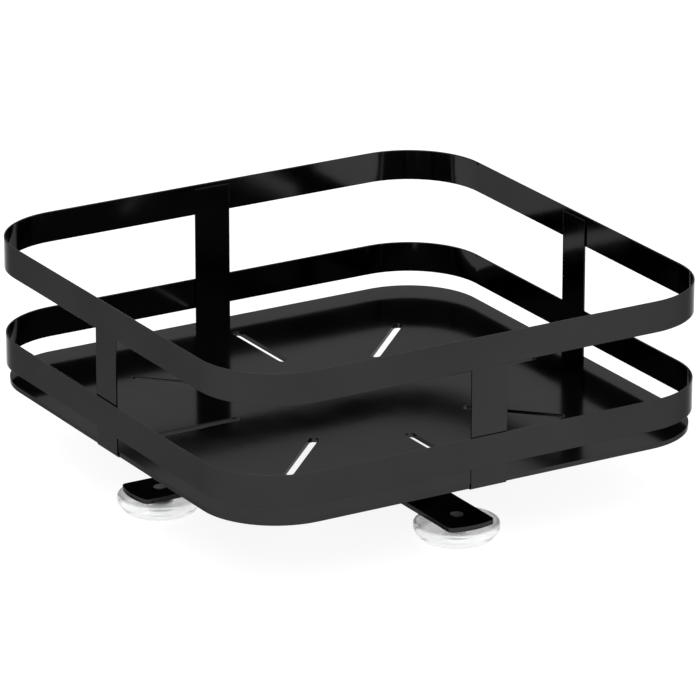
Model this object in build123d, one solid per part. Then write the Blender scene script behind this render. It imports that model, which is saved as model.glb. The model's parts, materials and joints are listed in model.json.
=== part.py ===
from build123d import *
import math
import os

# A square basket: two flat-bar rails and four uprights over a slotted tray.  It turns on a ball
# race that sits on a cross of two flat bars, and each bar end stands on an adjustable foot.
# Millimetres, +Z up.  The origin is on the floor, under the middle of the basket.

# ---- Driving dimensions -------------------------------------------------------------------------
RAIL_SIDE = 340.0            # outside of a rail, both ways
RAIL_CORNER = 52.0           # outside radius of a rail's corners
RAIL_HEIGHT = 20.0
RAIL_BAR = 1.0               # thickness of the rail bar
RAIL_EDGE = 0.3              # rounding of a rail's edges
UPPER_RAIL_TOP = 141.0
LOWER_RAIL_TOP = 77.5

UPRIGHT_WIDTH = 25.0
UPRIGHT_BAR = 1.0
UPRIGHT_BELOW_TOP = 2.5      # the uprights end this far below the upper rail's top edge
UPRIGHT_TOE = 26.0           # the leg that is bent in under the tray
UPRIGHT_HEEL = 2.0           # outside radius of that bend

TRAY_TOP = 48.0
TRAY_SHEET = 3.0
SLOT_COUNT = 8
SLOT_WIDTH = 6.0
SLOT_INNER_END = 75.0        # distance of a slot's two ends from the middle of the tray
SLOT_OUTER_END = 140.0

CROSS_TOP = 35.0             # top of the upper arm in the middle; the lower arm passes under it
ARM_FOOT_TOP = 14.0          # top of both arms where the feet are
ARM_WIDTH = 32.0
ARM_BAR = 3.0
ARM_TIP = 153.5              # distance of an arm's end from the middle
ARM_TIP_RADIUS = 45.0        # the end is a shallow arc
ARM_TIP_CORNER = 4.0
ARM_BEND_START = 58.0        # where an arm starts down, and where it is level again
ARM_BEND_END = 84.0
ARM_BEND_RADIUS = 8.0
ARM_EYE_RADIUS = 10.0        # hole in the middle of an arm, clear of the pivot's flange

FOOT_REACH = 132.5           # distance of a foot's axis from the middle
STUD_RADIUS = 4.0            # M8
STUD_PROUD = 0.3             # how far the stud's end stands above the arm
THREAD_CLEARANCE = 0.05
FOOT_HEX = 13.0              # M8 nut and bolt head, across the flats
FOOT_NUT_HEIGHT = 4.0
STUD_HEAD_BOTTOM = 1.6
STUD_HEAD_HEIGHT = 3.6
PAD_RADIUS = 26.5
PAD_FLOOR_RADIUS = 22.5      # the pad narrows towards the floor
PAD_WAIST = 5.5              # level where the pad reaches its full radius
PAD_RIM_TOP = 9.6
PAD_HUB_RADIUS = 9.5
PAD_HUB_TOP = 6.6
HEAD_POCKET_RADIUS = 7.8     # closed pocket inside the pad, which the stud's head turns in
HEAD_CLEARANCE = 0.1         # over and under the head
STUD_CLEARANCE = 0.08        # round the stud, in the pad

RACE_RADIUS = 45.0           # outside of the turntable's two plates
RACE_PLATE = 2.0
BALL_REACH = 36.0            # distance of the balls from the swivel axis
BALL_COUNT = 18
GROOVE_DEPTH = 0.6           # of the ball track in each plate
BALL_CLEARANCE = 0.15
CAGE_HALF_WIDTH = 5.5
CAGE_SHEET = 1.6
PIVOT_RADIUS = 6.0           # hollow pivot in the middle, which holds the two plates together
PIVOT_BORE = 4.5
PIVOT_FLANGE = 8.5
PIVOT_FLANGE_SHEET = 1.5
PIVOT_CLEARANCE = 0.08

SCREW_REACH = 26.0           # M5 screws that hold the arms to the lower plate
SCREW_RADIUS = 2.5
SCREW_HEAD_RADIUS = 4.6
SCREW_HEAD_HEIGHT = 1.6
SCREW_NUT_HEX = 8.0
SCREW_NUT_HEIGHT = 4.0
SCREW_TIP = 1.5              # thread that stands out of a nut
SPACER_RADIUS = 6.0

SIDES = {"right": 0, "back": 90, "left": 180, "front": 270}  # turn from +X to each side

# ---- Levels and sizes that follow ---------------------------------------------------------------
RAIL_INSIDE = RAIL_SIDE / 2 - RAIL_BAR
TRAY_HALF = RAIL_INSIDE - UPRIGHT_BAR
TRAY_CORNER = RAIL_CORNER - RAIL_BAR - UPRIGHT_BAR
TRAY_BOTTOM = TRAY_TOP - TRAY_SHEET
CROSS_BOTTOM = CROSS_TOP - ARM_BAR
LOWER_RACE_TOP = CROSS_TOP + RACE_PLATE
UPPER_RACE_BOTTOM = TRAY_BOTTOM - RACE_PLATE
BALL_LEVEL = (LOWER_RACE_TOP + UPPER_RACE_BOTTOM) / 2
BALL_RADIUS = (UPPER_RACE_BOTTOM - LOWER_RACE_TOP) / 2 + GROOVE_DEPTH - BALL_CLEARANCE
FOOT_NUT_TOP = ARM_FOOT_TOP - ARM_BAR
STUD_HEAD_TOP = STUD_HEAD_BOTTOM + STUD_HEAD_HEIGHT


# ---- Simple shapes ------------------------------------------------------------------------------
def disc(radius, bottom, top, x=0.0, y=0.0):
    """An upright cylinder from one level to another."""
    return Pos(x, y, (bottom + top) / 2) * Cylinder(radius, top - bottom)


def hexagon(flats, bottom, top, x=0.0, y=0.0):
    """A hexagonal prism, given across its flats, from one level to another."""
    outline = RegularPolygon(radius=flats / 2, side_count=6, major_radius=False)
    return Pos(x, y, bottom) * extrude(outline, top - bottom)


def rounded_square(half, corner, bottom, top):
    """A square prism with rounded corners, given its half side."""
    return Pos(0, 0, bottom) * extrude(RectangleRounded(2 * half, 2 * half, corner), top - bottom)


def opposite_pairs(turn):
    """The two places on one arm, either side of the middle, where its screws go."""
    step = Rot(0, 0, turn) * Pos(SCREW_REACH, 0, 0)
    return [(step.position.X, step.position.Y), (-step.position.X, -step.position.Y)]


# ---- Basket -------------------------------------------------------------------------------------
def rail(top):
    """A flat bar on edge, bent round into a closed square, with its edges just rounded."""
    bottom = top - RAIL_HEIGHT
    ring = rounded_square(RAIL_SIDE / 2, RAIL_CORNER, bottom, top)
    ring -= rounded_square(RAIL_INSIDE, RAIL_CORNER - RAIL_BAR, bottom - 1, top + 1)
    rims = ring.edges().group_by(Axis.Z)
    return fillet(rims[0] + rims[-1], RAIL_EDGE)


def tray():
    """The flat floor of the basket, with a ring of slots that point at its middle."""
    plate = rounded_square(TRAY_HALF, TRAY_CORNER, TRAY_BOTTOM, TRAY_TOP)
    outline = SlotOverall(SLOT_OUTER_END - SLOT_INNER_END, SLOT_WIDTH)
    middle = (SLOT_INNER_END + SLOT_OUTER_END) / 2
    cutter = Pos(middle, 0, TRAY_BOTTOM - 1) * extrude(outline, TRAY_SHEET + 2)
    for index in range(SLOT_COUNT):
        plate -= Rot(0, 0, index * 360 / SLOT_COUNT) * cutter
    return plate


def upright(turn):
    """A flat bar inside both rails and past the tray's edge, its toe bent in under the tray."""
    top = UPPER_RAIL_TOP - UPRIGHT_BELOW_TOP
    bottom = TRAY_BOTTOM - UPRIGHT_BAR
    profile = Polyline(
        (RAIL_INSIDE, top),
        (RAIL_INSIDE, bottom),
        (RAIL_INSIDE - UPRIGHT_TOE, bottom),
        (RAIL_INSIDE - UPRIGHT_TOE, TRAY_BOTTOM),
        (TRAY_HALF, TRAY_BOTTOM),
        (TRAY_HALF, top),
        close=True,
    )
    bar = extrude(Plane.XZ * make_face(profile), UPRIGHT_WIDTH / 2, both=True)
    heel = bar.edges().filter_by(Axis.Y).sort_by_distance((RAIL_INSIDE, 0, bottom))[0]
    return Rot(0, 0, turn) * fillet(heel, UPRIGHT_HEEL)


# ---- Turntable ----------------------------------------------------------------------------------
def ball_track():
    """The ring-shaped space that the balls run in, cut into both plates."""
    return Pos(0, 0, BALL_LEVEL) * Torus(BALL_REACH, BALL_RADIUS + BALL_CLEARANCE)


def upper_race():
    """The plate that is welded under the tray."""
    plate = disc(RACE_RADIUS, UPPER_RACE_BOTTOM, TRAY_BOTTOM)
    return plate - disc(PIVOT_RADIUS, UPPER_RACE_BOTTOM, TRAY_BOTTOM) - ball_track()


def lower_race():
    """The plate that is screwed to the cross, with the pivot's bearing hole in its middle."""
    plate = disc(RACE_RADIUS, CROSS_TOP, LOWER_RACE_TOP)
    plate -= disc(PIVOT_RADIUS + PIVOT_CLEARANCE, CROSS_TOP, LOWER_RACE_TOP)
    for turn in (0, 90):
        for x, y in opposite_pairs(turn):
            plate -= disc(SCREW_RADIUS, CROSS_TOP, LOWER_RACE_TOP, x, y)
    return plate - ball_track()


def ball_places():
    """One place for each ball, evenly round the swivel axis."""
    return [Rot(0, 0, index * 360 / BALL_COUNT) * Pos(BALL_REACH, 0, BALL_LEVEL)
            for index in range(BALL_COUNT)]


def balls():
    return Compound([place * Sphere(BALL_RADIUS) for place in ball_places()])


def ball_cage():
    """The flat ring that keeps the balls apart."""
    bottom, top = BALL_LEVEL - CAGE_SHEET / 2, BALL_LEVEL + CAGE_SHEET / 2
    ring = disc(BALL_REACH + CAGE_HALF_WIDTH, bottom, top)
    ring -= disc(BALL_REACH - CAGE_HALF_WIDTH, bottom, top)
    for place in ball_places():
        ring -= place * Cylinder(BALL_RADIUS + BALL_CLEARANCE, 2 * CAGE_SHEET)
    return ring


def pivot():
    """A hollow pivot, fast in the upper plate, whose flange keeps the lower plate from lifting."""
    flange_top = CROSS_TOP - PIVOT_CLEARANCE
    flange_bottom = flange_top - PIVOT_FLANGE_SHEET
    bush = disc(PIVOT_RADIUS, flange_bottom, TRAY_BOTTOM)
    bush += disc(PIVOT_FLANGE, flange_bottom, flange_top)
    return bush - disc(PIVOT_BORE, flange_bottom, TRAY_BOTTOM)


# ---- Cross of two arms --------------------------------------------------------------------------
def arm(turn, middle_top):
    """A flat bar from foot to foot, raised in the middle, with a joggle down to each foot."""
    middle, end = middle_top - ARM_BAR / 2, ARM_FOOT_TOP - ARM_BAR / 2
    half_run = [(ARM_BEND_START, middle), (ARM_BEND_END, end), (ARM_TIP + 1, end)]
    mirrored = [(-x, z) for x, z in reversed(half_run)]
    line = Plane.XZ * FilletPolyline(*mirrored, *half_run, radius=ARM_BEND_RADIUS)
    section = Plane(line @ 0, x_dir=(0, 1, 0), z_dir=line % 0) * Rectangle(ARM_WIDTH, ARM_BAR)
    bar = sweep(section, path=line) & arm_outline()
    bar -= disc(ARM_EYE_RADIUS, 0, CROSS_TOP)
    for side in (-1, 1):
        bar -= disc(SCREW_RADIUS, 0, CROSS_TOP, side * SCREW_REACH)
        bar -= disc(STUD_RADIUS + THREAD_CLEARANCE, 0, CROSS_TOP, side * FOOT_REACH)
    return Rot(0, 0, turn) * bar


def arm_outline():
    """The arm's outline from above, as a prism that trims the bar's two ends."""
    edge = ARM_WIDTH / 2
    shoulder = ARM_TIP - ARM_TIP_RADIUS + math.sqrt(ARM_TIP_RADIUS**2 - edge**2)
    outline = [
        Line((-shoulder, -edge), (shoulder, -edge)),
        ThreePointArc((shoulder, -edge), (ARM_TIP, 0), (shoulder, edge)),
        Line((shoulder, edge), (-shoulder, edge)),
        ThreePointArc((-shoulder, edge), (-ARM_TIP, 0), (-shoulder, -edge)),
    ]
    face = make_face(outline)
    return extrude(fillet(face.vertices(), ARM_TIP_CORNER), CROSS_TOP + 1)


def arm_screws():
    """Pan-head screws, down through the lower plate and an arm, one pair for each arm."""
    screws = []
    for turn, arm_bottom in ((0, CROSS_BOTTOM), (90, CROSS_BOTTOM - ARM_BAR)):
        for x, y in opposite_pairs(turn):
            tip = arm_bottom - SCREW_NUT_HEIGHT - SCREW_TIP
            head = disc(SCREW_HEAD_RADIUS, LOWER_RACE_TOP, LOWER_RACE_TOP + SCREW_HEAD_HEIGHT, x, y)
            screws.append(head + disc(SCREW_RADIUS, tip, LOWER_RACE_TOP, x, y))
    return Compound(screws)


def arm_nuts():
    nuts = []
    for turn, arm_bottom in ((0, CROSS_BOTTOM), (90, CROSS_BOTTOM - ARM_BAR)):
        for x, y in opposite_pairs(turn):
            bottom = arm_bottom - SCREW_NUT_HEIGHT
            nut = hexagon(SCREW_NUT_HEX, bottom, arm_bottom, x, y)
            nuts.append(nut - disc(SCREW_RADIUS, bottom, arm_bottom, x, y))
    return Compound(nuts)


def arm_spacers():
    """Collars that fill the gap between the lower plate and the lower arm."""
    return Compound([disc(SPACER_RADIUS, CROSS_BOTTOM, CROSS_TOP, x, y)
                     - disc(SCREW_RADIUS, CROSS_BOTTOM, CROSS_TOP, x, y)
                     for x, y in opposite_pairs(90)])


# ---- Feet ---------------------------------------------------------------------------------------
def foot_nut():
    """The thin nut welded under an arm's end, which the foot's stud screws through."""
    bottom = FOOT_NUT_TOP - FOOT_NUT_HEIGHT
    hole = disc(STUD_RADIUS + THREAD_CLEARANCE, bottom, FOOT_NUT_TOP)
    return hexagon(FOOT_HEX, bottom, FOOT_NUT_TOP) - hole


def foot_stud():
    """A hexagon-head bolt, head down.  The head is moulded into the pad and turns in it."""
    head = hexagon(FOOT_HEX, STUD_HEAD_BOTTOM, STUD_HEAD_TOP)
    return head + disc(STUD_RADIUS, STUD_HEAD_TOP, ARM_FOOT_TOP + STUD_PROUD)


def foot_pad():
    """A round pad, dished on top round its hub and narrowed towards the floor."""
    profile = Polyline(
        (0, 0),
        (PAD_FLOOR_RADIUS, 0),
        (PAD_RADIUS, PAD_WAIST),
        (PAD_RADIUS, PAD_RIM_TOP),
        (PAD_RADIUS - 2.0, PAD_RIM_TOP),
        (PAD_HUB_RADIUS + 2.0, PAD_HUB_TOP - 0.8),
        (PAD_HUB_RADIUS + 0.5, PAD_HUB_TOP - 0.8),
        (PAD_HUB_RADIUS, PAD_HUB_TOP),
        (0, PAD_HUB_TOP),
        close=True,
    )
    body = revolve(Plane.XZ * make_face(profile), Axis.Z)
    rims = body.edges().filter_by(GeomType.CIRCLE)
    floor_edge = rims.filter_by(lambda e: abs(e.radius - PAD_FLOOR_RADIUS) < 0.01)
    outer_edges = rims.filter_by(lambda e: abs(e.radius - PAD_RADIUS) < 0.01).sort_by(Axis.Z)
    body = fillet(floor_edge + outer_edges[:1], 3.0)
    top_edge = body.edges().filter_by(
        lambda e: e.geom_type == GeomType.CIRCLE and e.center().Z > PAD_RIM_TOP - 0.01)
    body = fillet(top_edge, 0.8)
    pocket_bottom, pocket_top = STUD_HEAD_BOTTOM - HEAD_CLEARANCE, STUD_HEAD_TOP + HEAD_CLEARANCE
    body -= disc(HEAD_POCKET_RADIUS, pocket_bottom, pocket_top)
    return body - disc(STUD_RADIUS + STUD_CLEARANCE, pocket_top, PAD_HUB_TOP)


def at_foot(turn, shape):
    return Rot(0, 0, turn) * Pos(FOOT_REACH, 0, 0) * shape


# ---- All the pieces -----------------------------------------------------------------------------
def pieces():
    """Every piece in its place, by name."""
    named = {
        "upper_rail": rail(UPPER_RAIL_TOP),
        "lower_rail": rail(LOWER_RAIL_TOP),
        "tray": tray(),
        "upper_race": upper_race(),
        "pivot": pivot(),
        "ball_cage": ball_cage(),
        "balls": balls(),
        "lower_race": lower_race(),
        "arm_left_right": arm(0, CROSS_TOP),
        "arm_front_back": arm(90, CROSS_BOTTOM),
        "arm_screws": arm_screws(),
        "arm_nuts": arm_nuts(),
        "arm_spacers": arm_spacers(),
    }
    for side, turn in SIDES.items():
        named[f"upright_{side}"] = upright(turn)
        named[f"foot_nut_{side}"] = at_foot(turn, foot_nut())
        named[f"foot_stud_{side}"] = at_foot(turn, foot_stud())
        named[f"foot_pad_{side}"] = at_foot(turn, foot_pad())
    return named


os.makedirs("parts", exist_ok=True)
for name, shape in pieces().items():
    export_step(shape, f"parts/{name}.step")
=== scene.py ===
import bpy
import json
import math
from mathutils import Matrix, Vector


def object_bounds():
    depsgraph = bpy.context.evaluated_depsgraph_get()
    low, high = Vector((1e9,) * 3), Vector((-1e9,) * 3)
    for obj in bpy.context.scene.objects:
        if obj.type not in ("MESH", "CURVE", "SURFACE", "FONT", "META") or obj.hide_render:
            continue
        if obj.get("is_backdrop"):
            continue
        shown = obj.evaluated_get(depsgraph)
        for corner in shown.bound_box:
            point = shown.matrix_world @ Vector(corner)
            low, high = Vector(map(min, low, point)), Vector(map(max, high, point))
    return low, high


# Looks for a square basket on a turntable with four adjustable feet. Metres, +Z up.
FLOOR_HALF = 30.0     # half the floor's width, so that low views don't reach its edge
FLOOR_GLOW = 0.9      # the floor is partly self-lit, so it stays white with a faint shadow
SKY_STRENGTH = 1.25
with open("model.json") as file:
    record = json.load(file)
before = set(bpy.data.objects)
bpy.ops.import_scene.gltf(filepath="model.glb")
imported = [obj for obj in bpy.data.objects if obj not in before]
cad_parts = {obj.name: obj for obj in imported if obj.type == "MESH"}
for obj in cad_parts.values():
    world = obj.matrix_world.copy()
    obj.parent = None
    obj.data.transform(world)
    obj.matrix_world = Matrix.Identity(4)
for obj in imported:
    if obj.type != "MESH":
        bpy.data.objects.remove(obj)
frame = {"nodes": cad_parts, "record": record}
cad_low, cad_high = (list(corner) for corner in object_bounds())
nodes, record = frame["nodes"], frame["record"]
node_slot = {part["node"]: part["material_slot"] for part in record["subparts"]}

# ---- Camera -------------------------------------------------------------------------------------
AZIMUTH, ELEVATION = math.radians(-30.683), math.radians(19.829)
DISTANCE, FOCAL = 3.5502, 293.4
back = Vector((math.sin(AZIMUTH) * math.cos(ELEVATION),
               -math.cos(AZIMUTH) * math.cos(ELEVATION), math.sin(ELEVATION)))
right = Vector((math.cos(AZIMUTH), math.sin(AZIMUTH), 0.0))
upward = back.cross(right)
aim = Vector((0.0, 0.0, cad_high[2] - 0.063)) + right * 0.00282 + upward * 0.00083

camera = bpy.data.objects.new("camera", bpy.data.cameras.new("camera"))
bpy.context.scene.collection.objects.link(camera)
camera.data.sensor_width = 36.0
camera.data.lens = FOCAL
camera.data.clip_start, camera.data.clip_end = 0.5, 50.0
camera.location = aim + back * DISTANCE
camera.rotation_mode = "QUATERNION"
camera.rotation_quaternion = (-back).to_track_quat("-Z", "Y")
bpy.context.scene.camera = camera


# ---- Materials ----------------------------------------------------------------------------------
class Nodes:
    """A new node material, with short ways to add and join its nodes."""

    def __init__(self, name):
        self.material = bpy.data.materials.new(name)
        self.material.use_nodes = True
        self.tree = self.material.node_tree
        self.shader = self.tree.nodes["Principled BSDF"]

    def add(self, kind, **values):
        node = self.tree.nodes.new(kind)
        for key, value in values.items():
            if hasattr(node, key):
                setattr(node, key, value)
            else:
                node.inputs[key.replace("_", " ")].default_value = value
        return node

    def join(self, output, socket):
        self.tree.links.new(output, socket)

    def place(self):
        return self.add("ShaderNodeTexCoord").outputs["Object"]

    def noise(self, scale, detail=3.0, roughness=0.5):
        node = self.add("ShaderNodeTexNoise")
        node.inputs["Scale"].default_value = scale
        node.inputs["Detail"].default_value = detail
        node.inputs["Roughness"].default_value = roughness
        self.join(self.place(), node.inputs["Vector"])
        return node.outputs["Fac"]

    def spread(self, factor, low, high, start=0.3, end=0.7):
        """A value that runs from low to high as a texture runs from start to end."""
        node = self.add("ShaderNodeMapRange")
        for socket, value in (("From Min", start), ("From Max", end), ("To Min", low), ("To Max", high)):
            node.inputs[socket].default_value = value
        self.join(factor, node.inputs["Value"])
        return node.outputs["Result"]

    def shades(self, factor, dark, light, start=0.3, end=0.7):
        ramp = self.add("ShaderNodeValToRGB")
        ramp.color_ramp.elements[0].position, ramp.color_ramp.elements[1].position = start, end
        ramp.color_ramp.elements[0].color, ramp.color_ramp.elements[1].color = (*dark, 1), (*light, 1)
        self.join(factor, ramp.inputs["Fac"])
        return ramp.outputs["Color"]

    def bump(self, height, strength, distance, under=None):
        node = self.add("ShaderNodeBump")
        node.inputs["Strength"].default_value = strength
        node.inputs["Distance"].default_value = distance
        self.join(height, node.inputs["Height"])
        if under is not None:
            self.join(under, node.inputs["Normal"])
        return node.outputs["Normal"]


def gloss_paint():
    """Black powder coat with an even gloss, faint orange peel and grain, and slightly rounded edges."""
    paint = Nodes("black_gloss_paint_looks")
    shader = paint.shader
    shader.inputs["Metallic"].default_value = 1.0
    shader.inputs["Specular Tint"].default_value = (0.5, 0.5, 0.5, 1.0)
    cloud = paint.noise(14.0, 3.0)
    grain = paint.noise(2400.0, 2.0)
    soft_edge = paint.add("ShaderNodeBevel", Radius=0.0005)
    relief = paint.bump(grain, 0.04, 0.00002, soft_edge.outputs["Normal"])
    relief = paint.bump(paint.noise(150.0, 1.0), 0.04, 0.0002, relief)
    paint.join(paint.shades(cloud, (0.031, 0.031, 0.031), (0.037, 0.037, 0.0375)),
               shader.inputs["Base Color"])
    paint.join(paint.spread(cloud, 0.07, 0.14), shader.inputs["Roughness"])
    paint.join(relief, shader.inputs["Normal"])
    return paint.material


def dark_steel():
    """Black-oxide steel, satin, a little brown where it is handled."""
    steel = Nodes("black_steel_looks")
    shader = steel.shader
    stain = steel.noise(90.0, 4.0)
    steel.join(steel.shades(stain, (0.004, 0.004, 0.0045), (0.014, 0.0125, 0.011)),
               shader.inputs["Base Color"])
    steel.join(steel.spread(stain, 0.28, 0.5), shader.inputs["Roughness"])
    steel.join(steel.bump(steel.noise(900.0, 2.0), 0.15, 0.00005), shader.inputs["Normal"])
    return steel.material


def zinc():
    """Zinc plate: grey metal with cloudy dull patches and fine turning marks."""
    metal = Nodes("zinc_steel_looks")
    shader = metal.shader
    shader.inputs["Metallic"].default_value = 1.0
    cloud = metal.noise(160.0, 4.0)
    metal.join(metal.shades(cloud, (0.24, 0.245, 0.25), (0.4, 0.405, 0.41)), shader.inputs["Base Color"])
    metal.join(metal.spread(cloud, 0.22, 0.42), shader.inputs["Roughness"])
    metal.join(metal.bump(metal.noise(1500.0, 2.0), 0.12, 0.00004), shader.inputs["Normal"])
    return metal.material


def galvanised(name, dark, light, rough):
    """Plated sheet steel with a fine spangle."""
    metal = Nodes(name)
    shader = metal.shader
    shader.inputs["Metallic"].default_value = 1.0
    spangle = metal.add("ShaderNodeTexVoronoi")
    spangle.inputs["Scale"].default_value = 260.0
    metal.join(metal.place(), spangle.inputs["Vector"])
    metal.join(metal.shades(spangle.outputs["Distance"], dark, light, 0.0, 0.8), shader.inputs["Base Color"])
    metal.join(metal.spread(metal.noise(70.0), rough - 0.08, rough + 0.08), shader.inputs["Roughness"])
    metal.join(metal.bump(metal.noise(1200.0, 2.0), 0.1, 0.00004), shader.inputs["Normal"])
    return metal.material


def clear_plastic():
    """Clear moulded plastic, faintly milky, with a soft moulding grain."""
    plastic = Nodes("clear_pad_looks")
    shader = plastic.shader
    shader.inputs["IOR"].default_value = 1.2
    shader.inputs["Transmission Weight"].default_value = 0.6
    haze = plastic.noise(120.0, 3.0)
    plastic.join(plastic.shades(haze, (0.8, 0.805, 0.81), (0.88, 0.885, 0.89)), shader.inputs["Base Color"])
    plastic.join(plastic.spread(haze, 0.08, 0.16), shader.inputs["Roughness"])
    plastic.join(plastic.bump(plastic.noise(700.0, 2.0), 0.05, 0.00003), shader.inputs["Normal"])
    return plastic.material


def matt_plastic():
    """Matt black nylon with a moulding grain."""
    plastic = Nodes("cage_plastic_looks")
    shader = plastic.shader
    tone = plastic.noise(200.0, 3.0)
    plastic.join(plastic.shades(tone, (0.02, 0.02, 0.021), (0.045, 0.045, 0.047)),
                 shader.inputs["Base Color"])
    plastic.join(plastic.spread(tone, 0.5, 0.68), shader.inputs["Roughness"])
    plastic.join(plastic.bump(plastic.noise(1600.0, 2.0), 0.2, 0.00005), shader.inputs["Normal"])
    return plastic.material


looks = {
    "black_gloss_paint": gloss_paint(),
    "black_steel": dark_steel(),
    "zinc_steel": zinc(),
    "clear_pad": clear_plastic(),
    "race_steel": galvanised("race_steel_looks", (0.3, 0.305, 0.31), (0.48, 0.485, 0.49), 0.38),
    "ball_steel": galvanised("ball_steel_looks", (0.6, 0.605, 0.61), (0.72, 0.725, 0.73), 0.12),
    "cage_plastic": matt_plastic(),
}
for name, node in nodes.items():
    for slot in node.material_slots:
        slot.material = looks[node_slot[name]]

# ---- Floor and light ----------------------------------------------------------------------------
floor_mesh = bpy.data.meshes.new("studio_floor")
floor_corners = [(x * FLOOR_HALF, y * FLOOR_HALF, 0) for x, y in ((-1, -1), (1, -1), (1, 1), (-1, 1))]
floor_mesh.from_pydata(floor_corners, [], [(0, 1, 2, 3)])
floor = bpy.data.objects.new("studio_floor", floor_mesh)
bpy.context.scene.collection.objects.link(floor)
floor_looks = Nodes("studio_floor_looks")
floor_shader = floor_looks.shader
floor_tone = floor_looks.noise(3.0, 2.0)
floor_looks.join(floor_looks.shades(floor_tone, (0.19, 0.19, 0.19), (0.21, 0.21, 0.21)),
                 floor_shader.inputs["Base Color"])
floor_looks.join(floor_looks.shades(floor_tone, (0.97, 0.97, 0.97), (1.0, 1.0, 1.0)),
                 floor_shader.inputs["Emission Color"])
floor_shader.inputs["Emission Strength"].default_value = FLOOR_GLOW
floor_shader.inputs["Roughness"].default_value = 0.9
floor_shader.inputs["Specular IOR Level"].default_value = 0.0
floor_mesh.materials.append(floor_looks.material)
floor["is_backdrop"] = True

world = bpy.data.worlds.new("studio")
world.use_nodes = True
sky = world.node_tree.nodes["Background"]
sky.inputs["Color"].default_value = (1, 1, 1, 1)
sky.inputs["Strength"].default_value = SKY_STRENGTH
bpy.context.scene.world = world


def softbox(name, place, size, power):
    """A square area light that faces the middle of the object."""
    lamp = bpy.data.lights.new(name, "AREA")
    lamp.shape, lamp.size, lamp.energy = "SQUARE", size, power
    light = bpy.data.objects.new(name, lamp)
    light.location = place
    towards = Vector((0, 0, 0.07)) - Vector(place)
    light.rotation_mode = "QUATERNION"
    light.rotation_quaternion = towards.to_track_quat("-Z", "Y")
    bpy.context.scene.collection.objects.link(light)


softbox("key", (-1.5, -1.5, 3.0), 2.5, 20.0)

bpy.context.scene.view_settings.view_transform = "Standard"
